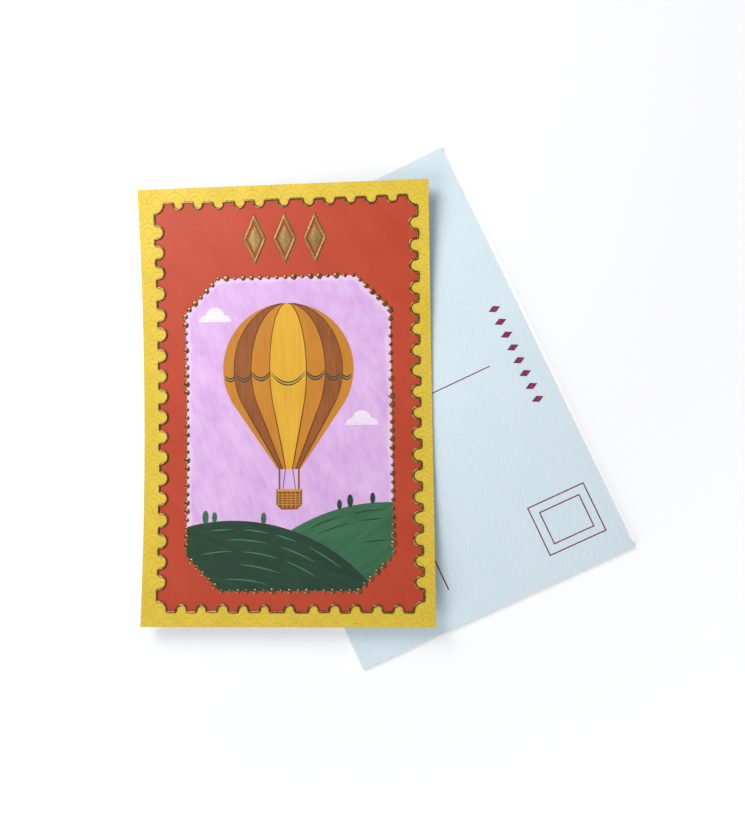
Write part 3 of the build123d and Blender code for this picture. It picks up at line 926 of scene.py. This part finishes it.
balloon = [*seam(1, pi / 2), *reversed(seam(-1, pi / 2)[1:])]
light_gore = gore(-LIGHT_GORE_EDGE, LIGHT_GORE_EDGE)
dark_gores = [[gore(*DARK_GORE)], [gore(-DARK_GORE[1], -DARK_GORE[0])]]
layer("balloon", [[balloon]], ochre_paint, "balloon_ink")
layer("light_gore", [[light_gore]], gold_yellow_paint, "light_gore_ink")
layer("dark_gores", dark_gores, brown_paint, "dark_gore_ink")

# %% The basket and the clouds
BASKET_LINE = 0.6
CLOUD_RADIUS, SIDE_PUFF, CLOUD_SIDE_GAP = 3.4, 0.7, 10.5
HIGH_CLOUD_DROP, LOW_CLOUD_DROP = 15.0, 52.0

half_basket, cut = BASKET_WIDTH / 2, BASKET_HEIGHT / 4
foot = BASKET_TOP - BASKET_HEIGHT
basket = [(cut - half_basket, foot), (half_basket - cut, foot), (half_basket, foot + cut)]
basket += [(half_basket, BASKET_TOP), (-half_basket, BASKET_TOP), (-half_basket, foot + cut)]
line_x = min(BASKET_WIDTH, MOUTH_WIDTH) / 2 - BASKET_LINE
line_y = BASKET_TOP + BASKET_DROP / 2
ropes = [[rectangle(BASKET_LINE, BASKET_DROP, x, line_y)] for x in (-line_x, line_x)]
layer("basket", [[basket], *ropes], brown_paint, "basket_ink")


def cloud(x, y):
    """Three puffs on a flat base."""
    small = CLOUD_RADIUS * SIDE_PUFF
    meet = crossing(CLOUD_RADIUS, 0, small, 0, CLOUD_RADIUS / 2, CLOUD_RADIUS)
    side_turn = acos((meet[0] - CLOUD_RADIUS) / small)
    top_turn = asin((meet[1] - CLOUD_RADIUS / 2) / CLOUD_RADIUS)
    right = arc(CLOUD_RADIUS, 0, small, 0, side_turn)
    right += arc(0, CLOUD_RADIUS / 2, CLOUD_RADIUS, top_turn, pi / 2)[1:]
    whole = [*right, *[(-u, v) for u, v in reversed(right[:-1])]]
    return [(x + u, y + v) for u, v in whole]


cloud_x = WINDOW_HALF_WIDTH - CLOUD_SIDE_GAP
clouds = [[cloud(-cloud_x, WINDOW_TOP - HIGH_CLOUD_DROP)], [cloud(cloud_x, WINDOW_TOP - LOW_CLOUD_DROP)]]
layer("clouds", clouds, pale_paint, "cloud_ink")

# %% [markdown]
# ## The picture: brush lines
# The last touches of a painter's fine brush: seams and swags on the balloon, wicker on the basket, furrows
# and trees on the hills. All but the trees use the raised line tree, thinned where the brush lifts.

# %% Seams and swags on the balloon
SEAM_WIDTH, SEAM_HEIGHT = 0.32, 0.09
SWAG_Y, SWAG_ARCH = BALLOON_Y - 3.0, 1.6
SWAG_WIDTH, SWAG_DIP, SWAG_TAPER = 0.55, 0.34, 0.55
SWAG_PAIR = 1.7 * SWAG_WIDTH
SWAG_STEPS = 14

sky_top = levels("window_ink")[1]
paint_top = levels("balloon_ink")[1]


def brush(part, paths, width, finish, base=paint_top, height=SEAM_HEIGHT, taper=0.0):
    """Brush lines on both cards. They stand on the paint where no other height is given."""
    put(part, lines(part, paths, base, width, height, finish, taper=taper))


right_seams = [LIGHT_GORE_EDGE, *DARK_GORE]
inner_seams = [*[-share for share in reversed(right_seams)], *right_seams]
brush("balloon_seams", [seam(share) for share in inner_seams], SEAM_WIDTH, umber_ink)

girth = sqrt(BALLOON_RADIUS ** 2 - (SWAG_Y - BALLOON_Y) ** 2) - SWAG_WIDTH
swags = []
for left, right in zip([-1, *inner_seams], [*inner_seams, 1]):
    shares = [left + (right - left) * step / SWAG_STEPS for step in range(SWAG_STEPS + 1)]
    hang = SWAG_DIP * (right - left) * girth / ((right - left) / 2) ** 2
    dips = [hang * (share - left) * (right - share) for share in shares]
    arch = [SWAG_Y + SWAG_ARCH * (1 - share * share) for share in shares]
    swags.append([(girth * share, y - dip) for share, y, dip in zip(shares, arch, dips)])
    swags.append([(x, y + SWAG_PAIR) for x, y in swags[-1]])
brush("balloon_swags", swags, SWAG_WIDTH, dark_green_paint, taper=SWAG_TAPER)

# %% Wicker and ropes
WICKER_WIDTH, WICKER_ROWS, WICKER_POSTS = 0.26, 5, 6
WICKER_SIDE_GAP, WICKER_TOP_GAP = 0.7, 1.0
POST_FOOT_GAP, POST_TOP_GAP = 0.5, 0.9
RIM_WIDTH, RIM_HEIGHT, RIM_SIDE_GAP, RIM_DROP = 0.8, 2 * SEAM_HEIGHT, 0.3, 0.4
ROPE_TOP_X, ROPE_FOOT_X = 1.3, 2.21

wall = half_basket - WICKER_SIDE_GAP
rows = [foot + cut + (BASKET_HEIGHT - cut - WICKER_TOP_GAP) * row / WICKER_ROWS for row in range(WICKER_ROWS)]
weave = [[(-wall, y), (wall, y)] for y in rows]
for post in range(WICKER_POSTS):
    x = wall * (2 * post / (WICKER_POSTS - 1) - 1)
    post_foot = foot + POST_FOOT_GAP + max(0, abs(x) + cut - half_basket)
    weave.append([(x, post_foot), (x, BASKET_TOP - POST_TOP_GAP)])
brush("wicker", weave, WICKER_WIDTH, straw_ink)
rim_x, rim_y = half_basket - RIM_SIDE_GAP, BASKET_TOP - RIM_DROP
rim = [[(-rim_x, rim_y), (rim_x, rim_y)]]
brush("basket_rim", rim, RIM_WIDTH, straw_ink, height=RIM_HEIGHT)
inner_ropes = [[(side * ROPE_TOP_X, MOUTH_Y), (side * ROPE_FOOT_X, BASKET_TOP)] for side in (-1, 1)]
brush("inner_ropes", inner_ropes, WICKER_WIDTH, umber_ink, base=sky_top)

# %% Where furrows show
FURROW_INSET, CREST_GAP = 2.0, 1.0

inner_view = window(PICTURE_INSET + FURROW_INSET)


def on_near_hill(x, y):
    """Whether a place lies inside the part of the window that has furrows."""
    sides = zip(inner_view, inner_view[1:] + inner_view[:1])
    return all((y1 - y0) * (x - x0) - (x1 - x0) * (y - y0) <= 0 for (x0, y0), (x1, y1) in sides)


def on_far_hill(x, y):
    """The same, and clear of the near hill's crest."""
    return on_near_hill(x, y) and hypot(x - NEAR_HILL_X, y - near_y) > HILL_RADIUS + CREST_GAP


print(f"furrows keep {FURROW_INSET} mm from the picture's edge, and {CREST_GAP} mm from the near crest")

# %% Furrows on the hills
FURROW_WIDTH, FURROW_TAPER = 0.5, 0.8
FURROW_STEPS = 10
NEAR_DEPTHS, FAR_DEPTHS = (3, 6.5, 10.5, 15, 20), (2.6, 5.6, 9, 13, 17.5)
STROKE_LENGTH, STROKE_GAP, FIRST_TURN = (7, 15), (2, 5), 0.1
FURROW_SEED = 21


def furrows(x, y, depths, hand, shown):
    """Broken brush strokes that follow a hill's crest at these depths, where a test shows them."""
    strokes = []
    for depth in depths:
        radius = HILL_RADIUS - depth
        turn = pi - hand.uniform(0, FIRST_TURN)
        while turn > 0:
            end = turn - hand.uniform(*STROKE_LENGTH) / radius
            stroke = arc(x, y, radius, turn, end, FURROW_STEPS)
            if all(shown(u, v) for u, v in stroke):
                strokes.append(stroke)
            turn = end - hand.uniform(*STROKE_GAP) / radius
    return strokes


hand = Random(FURROW_SEED)
near_strokes = furrows(NEAR_HILL_X, near_y, NEAR_DEPTHS, hand, on_near_hill)
far_strokes = furrows(FAR_HILL_X, far_y, FAR_DEPTHS, hand, on_far_hill)
brush("near_furrows", near_strokes, FURROW_WIDTH, moss_ink, taper=FURROW_TAPER)
brush("far_furrows", far_strokes, FURROW_WIDTH, dark_green_paint, taper=FURROW_TAPER)

# %% Trees along the crests
TREE_STEPS = 18
CROWN_MIDDLE = 0.42
# Where each tree stands across the card, its width and its height
NEAR_TREES = [(-29.5, 2.1, 4.6), (-26.3, 1.7, 3.6), (-9.0, 1.8, 4.0)]
FAR_TREES = [(17.5, 1.6, 3.4), (21.2, 2.0, 4.4), (29.0, 1.7, 3.8)]


def tree_crown(x, width, height, hill_x, hill_y):
    """A tall rounded crown that stands on a hill's crest."""
    ground_y = hill_y + sqrt(HILL_RADIUS ** 2 - (x - hill_x) ** 2)
    turns = [2 * pi * step / TREE_STEPS for step in range(TREE_STEPS)]
    middle_y = ground_y + CROWN_MIDDLE * height
    return [(x + width / 2 * cos(turn), middle_y + height / 2 * sin(turn)) for turn in turns]


near_crowns = [[tree_crown(*size, NEAR_HILL_X, near_y)] for size in NEAR_TREES]
far_crowns = [[tree_crown(*size, FAR_HILL_X, far_y)] for size in FAR_TREES]
tree_top = paint_top + SEAM_HEIGHT
put("near_trees", printed("near_trees", near_crowns, sky_top, tree_top), green_paint)
put("far_trees", printed("far_trees", far_crowns, sky_top, tree_top), dark_green_paint)

# %% [markdown]
# ## Fine lines in the border
# The border carries a traditional scale pattern: rows of arcs inside arcs, each row half a step along. It is
# printed in a deeper yellow, so fine that it shows only close to. Geometry Nodes set two arcs on every spot,
# and the raised line tree draws them. What falls under the red panel is hidden by it.

# %% A tree that draws scales on spots
SCALE_RADIUS = 3.4
SCALE_SHARES = (1.0, 0.55)
SCALE_POINTS = 10
SCALE_LINE, SCALE_HEIGHT, SCALE_TAPER = 0.22, 0.03, 0.5
HIDDEN = 4.0


def scale_tree():
    tree, given = new_tree("scales_on_spots", Radius="Float", Finish="Material")
    arcs = add(tree, "GeometryNodeJoinGeometry")
    for share in SCALE_SHARES:
        radius = add(tree, "ShaderNodeMath", {0: given["Radius"], 1: share}, operation="MULTIPLY")
        half_ring = {"Resolution": SCALE_POINTS, "Radius": radius, "Sweep Angle": pi}
        ring = add(tree, "GeometryNodeCurveArc", half_ring, mode="RADIUS")
        tree.links.new(ring.outputs["Curve"], arcs.inputs["Geometry"])
    scales = add(tree, "GeometryNodeInstanceOnPoints", {"Points": given["Path"], "Instance": arcs})
    loose = add(tree, "GeometryNodeRealizeInstances", {"Geometry": scales})
    end_tree(tree, add(tree, "GeometryNodeCurveToMesh", {"Curve": loose}), given["Finish"])
    return tree


scales_on_spots = scale_tree()
print("tree", scales_on_spots.name, "has", len(scales_on_spots.nodes), "nodes")

# %% Spots in the border, and a trim at the card's edges
def scale_spots():
    """Spots in the border, with every other row half a step along."""
    spots = []
    rows, columns = ceil(CARD_LENGTH / 2 / SCALE_RADIUS), ceil(CARD_WIDTH / 4 / SCALE_RADIUS) + 1
    for row in range(-rows, rows):
        for column in range(-columns, columns):
            x, y = SCALE_RADIUS * (2 * column + row % 2), SCALE_RADIUS * row
            if abs(x) > PANEL_WIDTH / 2 - HIDDEN or abs(y) > PANEL_LENGTH / 2 - HIDDEN:
                spots.append((x, y))
    return spots


def trimmed(mesh):
    """A mesh cut off at the card's four edges."""
    made = bmesh.new()
    made.from_mesh(mesh)
    for normal in ((1, 0, 0), (-1, 0, 0), (0, 1, 0), (0, -1, 0)):
        edge = [side * size * MM / 2 for side, size in zip(normal, (CARD_WIDTH, CARD_LENGTH, 0))]
        slice_mesh(made, edge, normal, clear_outer=True)
    bmesh.ops.holes_fill(made, edges=[edge for edge in made.edges if edge.is_boundary])
    made.to_mesh(mesh)
    made.free()
    return mesh


face_top = levels("face_ply")[1]
spots = path_object("scale_spots", [[spot] for spot in scale_spots()], face_top, False)
scales = grow(scales_on_spots, spots, Radius=SCALE_RADIUS * MM, Finish=border_ink)
host = show("border_scales", scales)
sizes = {"Width": SCALE_LINE * MM, "Height": SCALE_HEIGHT * MM, "Taper": SCALE_TAPER}
put("border_scales", trimmed(grow(raised_line, host, **sizes, Finish=border_ink)), shift=0)

# %% [markdown]
# ## The printed back
# The address side carries the few lines that any postcard has: a heading, a rule down the middle, lines for
# the address and a box for the stamp. They are printed in one wine red.

# %% Heading and divider
HEADING_COUNT, HEADING_PITCH, HEADING_HEIGHT, HEADING_WIDTH, HEADING_DROP = 8, 4.9, 4.4, 2.4, 7.8
DIVIDER_WIDTH, DIVIDER_START, DIVIDER_FOOT = 0.35, 17.7, 10.0


def on_back(along, down):
    """A place on the back, measured along its top edge from the left and down from that edge."""
    return down - CARD_WIDTH / 2, CARD_LENGTH / 2 - along


middle = CARD_LENGTH / 2
steps = [HEADING_PITCH * (step - (HEADING_COUNT - 1) / 2) for step in range(HEADING_COUNT)]
heading = [[lozenge(HEADING_HEIGHT, HEADING_WIDTH, *on_back(middle + step, HEADING_DROP))] for step in steps]
layer("heading_lozenges", heading, wine_ink, "heading_ink", shift=0)

divider_length = CARD_WIDTH - DIVIDER_START - DIVIDER_FOOT
divider = [[rectangle(divider_length, DIVIDER_WIDTH, *on_back(middle, DIVIDER_START + divider_length / 2))]]
layer("divider_rule", divider, wine_ink, "divider_ink", shift=0)

# %% Address rules and stamp box
RULE_COUNT, RULE_WIDTH, RULE_PITCH, RULE_DROP, RULE_LENGTH, RULE_END_GAP = 3, 0.45, 9.0, 63.2, 55.0, 12.7
STAMP_BOX_WIDTH, STAMP_BOX_HEIGHT, STAMP_BOX_LINE, STAMP_BOX_INNER_GAP = 18.0, 21.0, 0.4, 3.0
STAMP_BOX_TOP_GAP, STAMP_BOX_END_GAP = 6.1, 8.9

rule_along = CARD_LENGTH - RULE_END_GAP - RULE_LENGTH / 2
drops = [RULE_DROP + RULE_PITCH * row for row in range(RULE_COUNT)]
rules = [[rectangle(RULE_WIDTH, RULE_LENGTH, *on_back(rule_along, drop))] for drop in drops]
layer("address_rules", rules, wine_ink, "address_rule_ink", shift=0)

box_along = CARD_LENGTH - STAMP_BOX_END_GAP - STAMP_BOX_WIDTH / 2
box_spot = on_back(box_along, STAMP_BOX_TOP_GAP + STAMP_BOX_HEIGHT / 2)
boxes = []
for gap in (0, STAMP_BOX_INNER_GAP):
    height, width = STAMP_BOX_HEIGHT - 2 * gap, STAMP_BOX_WIDTH - 2 * gap
    inner = rectangle(height - 2 * STAMP_BOX_LINE, width - 2 * STAMP_BOX_LINE, *box_spot)
    boxes.append([rectangle(height, width, *box_spot), inner])
layer("stamp_box", boxes, wine_ink, "stamp_box_ink", shift=0)

# %% [markdown]
# ## Floor, light and camera
# The cards lie on a white paper sweep. A broad window low at the lower left rakes over the paper and shows
# its grain. A panel close over the upper left corner makes that corner the brightest and puts a thin light on
# the foil. The rest of the room is dim near the horizon and lighter overhead, so that the foil has something
# dark to mirror. Beyond these pools of light the sweep glows for the camera alone, so the ground stays white.
# A strip along the lower card's right edge glows the same way: painted light over the card's contact shadow
# there. The camera looks almost straight down.

# %% Painted light over the contact shadow along the lower card's right edge
PAINTED_EDGE_LIGHT = {"reach": 2.2, "full": 0.1, "ends": 0.97, "glow": 0.42}


def painted_edge_light(tree, place):
    """Painted light over the lower card's contact shadow along its right edge, fading outwards and at its
    corners.
    """
    edge_middle = lower_spot + CARD_WIDTH / 2 * MM * np.array([cos(LOWER_TURN), sin(LOWER_TURN), 0])
    size = (PAINTED_EDGE_LIGHT["reach"] * MM, CARD_LENGTH / 2 * MM, 1)
    strip = {"Vector": place, "Location": edge_middle, "Rotation": (0, 0, LOWER_TURN), "Scale": size}
    by_edge = add(tree, "ShaderNodeMapping", strip, vector_type="TEXTURE")
    folded = add(tree, "ShaderNodeVectorMath", {0: by_edge}, operation="ABSOLUTE")
    away = add(tree, "ShaderNodeSeparateXYZ", {0: folded}).outputs
    fade = {"Value": away["X"], "From Min": 1.0, "From Max": PAINTED_EDGE_LIGHT["full"], "To Max": PAINTED_EDGE_LIGHT["glow"]}
    outwards = add(tree, "ShaderNodeMapRange", fade, interpolation_type="SMOOTHSTEP")
    fade = {"Value": away["Y"], "From Min": 1.0, "From Max": PAINTED_EDGE_LIGHT["ends"]}
    along = add(tree, "ShaderNodeMapRange", fade, interpolation_type="SMOOTHSTEP")
    return add(tree, "ShaderNodeMath", {0: outwards, 1: along}, operation="MULTIPLY")


print("the glow reaches", PAINTED_EDGE_LIGHT["reach"], "mm from the edge")

# %% The sweep
FLOOR_SIZE = 6.0
FLOOR_DROP = 0.05
PANEL_POOL = {"centre": (-0.16, 0.12, 0.0), "start": 0.12, "end": 0.7, "glow": 0.7}
CARD_POOL = {"centre": (0.0, 0.0, 0.0), "start": 0.2, "end": 0.45, "glow": 0.6}


def sweep_paper():
    """White seamless paper with a glow that keeps it white, lights nothing and paints light over a contact
    shadow.
    """
    made = bpy.data.materials.new("white_seamless_paper")
    made.use_nodes = True
    tree = made.node_tree
    tree.nodes.clear()
    place = add(tree, "ShaderNodeTexCoord").outputs["Object"]
    # The first term is painted light that covers the lower card's contact shadow along its right edge.
    glow = painted_edge_light(tree, place)
    for pool in (PANEL_POOL, CARD_POOL):
        spot = {0: place, 1: pool["centre"]}
        away = add(tree, "ShaderNodeVectorMath", spot, operation="DISTANCE").outputs["Value"]
        reach = {"Value": away, "From Min": pool["start"], "From Max": pool["end"], "To Max": pool["glow"]}
        beyond = add(tree, "ShaderNodeMapRange", reach, interpolation_type="SMOOTHSTEP")
        glow = add(tree, "ShaderNodeMath", {0: glow, 1: beyond}, operation="MAXIMUM")
    direct = add(tree, "ShaderNodeLightPath").outputs["Is Camera Ray"]
    shown = add(tree, "ShaderNodeMath", {0: glow, 1: direct}, operation="MULTIPLY")
    white = {"Base Color": linear("#ECECEC"), "Roughness": 0.9, "Specular IOR Level": 0.0}
    lit = {"Emission Color": linear("#FFFFFF"), "Emission Strength": shown}
    shader = add(tree, "ShaderNodeBsdfPrincipled", {**white, **lit})
    add(tree, "ShaderNodeOutputMaterial", {"Surface": shader})
    return made


sweep_mesh = bpy.data.meshes.new("sweep")
sweep_corners = [(x, y, -FLOOR_DROP * MM) for x, y in rectangle(FLOOR_SIZE, FLOOR_SIZE)]
sweep_mesh.from_pydata(sweep_corners, [], [(0, 1, 2, 3)])
sweep_mesh.materials.append(sweep_paper())
sweep = show("sweep", sweep_mesh)
sweep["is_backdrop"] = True
print(f"sweep {FLOOR_SIZE:.0f} m wide, {FLOOR_DROP} mm under the cards")

# %% The room and two soft lights
ROOM_LOW, ROOM_HIGH = 0.15, 0.66
SOFT_LIGHTS = {
    "window_light": {"place": (-0.97, -0.92, 0.52), "size": 1.25, "power": 18.0},
    "overhead_panel": {"place": (-0.185, 0.2, 0.245), "size": 0.2, "power": 0.95},
}

world = bpy.data.worlds.new("studio")
bpy.context.scene.world = world
world.use_nodes = True
tree = world.node_tree
tree.nodes.clear()
direction = add(tree, "ShaderNodeTexCoord").outputs["Generated"]
height = add(tree, "ShaderNodeSeparateXYZ", {0: direction}).outputs["Z"]
lift = add(tree, "ShaderNodeMapRange", {"Value": height, "To Min": ROOM_LOW, "To Max": ROOM_HIGH})
sky = add(tree, "ShaderNodeBackground", {"Color": linear("#FAFBFF"), "Strength": lift})
backdrop = add(tree, "ShaderNodeBackground", {"Color": linear("#FFFFFF"), "Strength": 1.0})
seen = add(tree, "ShaderNodeLightPath").outputs["Is Camera Ray"]
room = add(tree, "ShaderNodeMixShader", {0: seen, 1: sky, 2: backdrop})
add(tree, "ShaderNodeOutputWorld", {"Surface": room})

for light_name, light in SOFT_LIGHTS.items():
    made = bpy.data.lights.new(light_name, "AREA")
    made.shape = "SQUARE"
    made.size = light["size"]
    made.energy = light["power"]
    lamp = show(light_name, made)
    lamp.location = light["place"]
    lamp.rotation_euler = (-lamp.location).to_track_quat("-Z", "Y").to_euler()
    print(light_name, "at", light["place"], "m")

# %% The camera
PHOTO_WIDTH, PHOTO_HEIGHT = 745, 832
FOCAL_PIXELS = 700
CAMERA_PLACE = (0.01208, -0.00926, 0.2436)
CAMERA_TURN = (1.447, 3.722, -0.893)

lens = bpy.data.cameras.new("camera")
lens.sensor_width = 36.0
lens.lens = lens.sensor_width * FOCAL_PIXELS / max(PHOTO_WIDTH, PHOTO_HEIGHT)
lens.clip_start = 0.01
camera = show("camera", lens)
camera.location = CAMERA_PLACE
camera.rotation_euler = [radians(turn) for turn in CAMERA_TURN]
bpy.context.scene.camera = camera
bpy.context.scene.view_settings.view_transform = "Standard"
print(f"lens {lens.lens:.1f} mm")

# %% Print the CAD and visual boxes
visual_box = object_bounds()
for box_name, box in (("CAD", cad_box), ("visual", visual_box)):
    print(box_name, "box", [round(v, 4) for corner in box for v in corner])
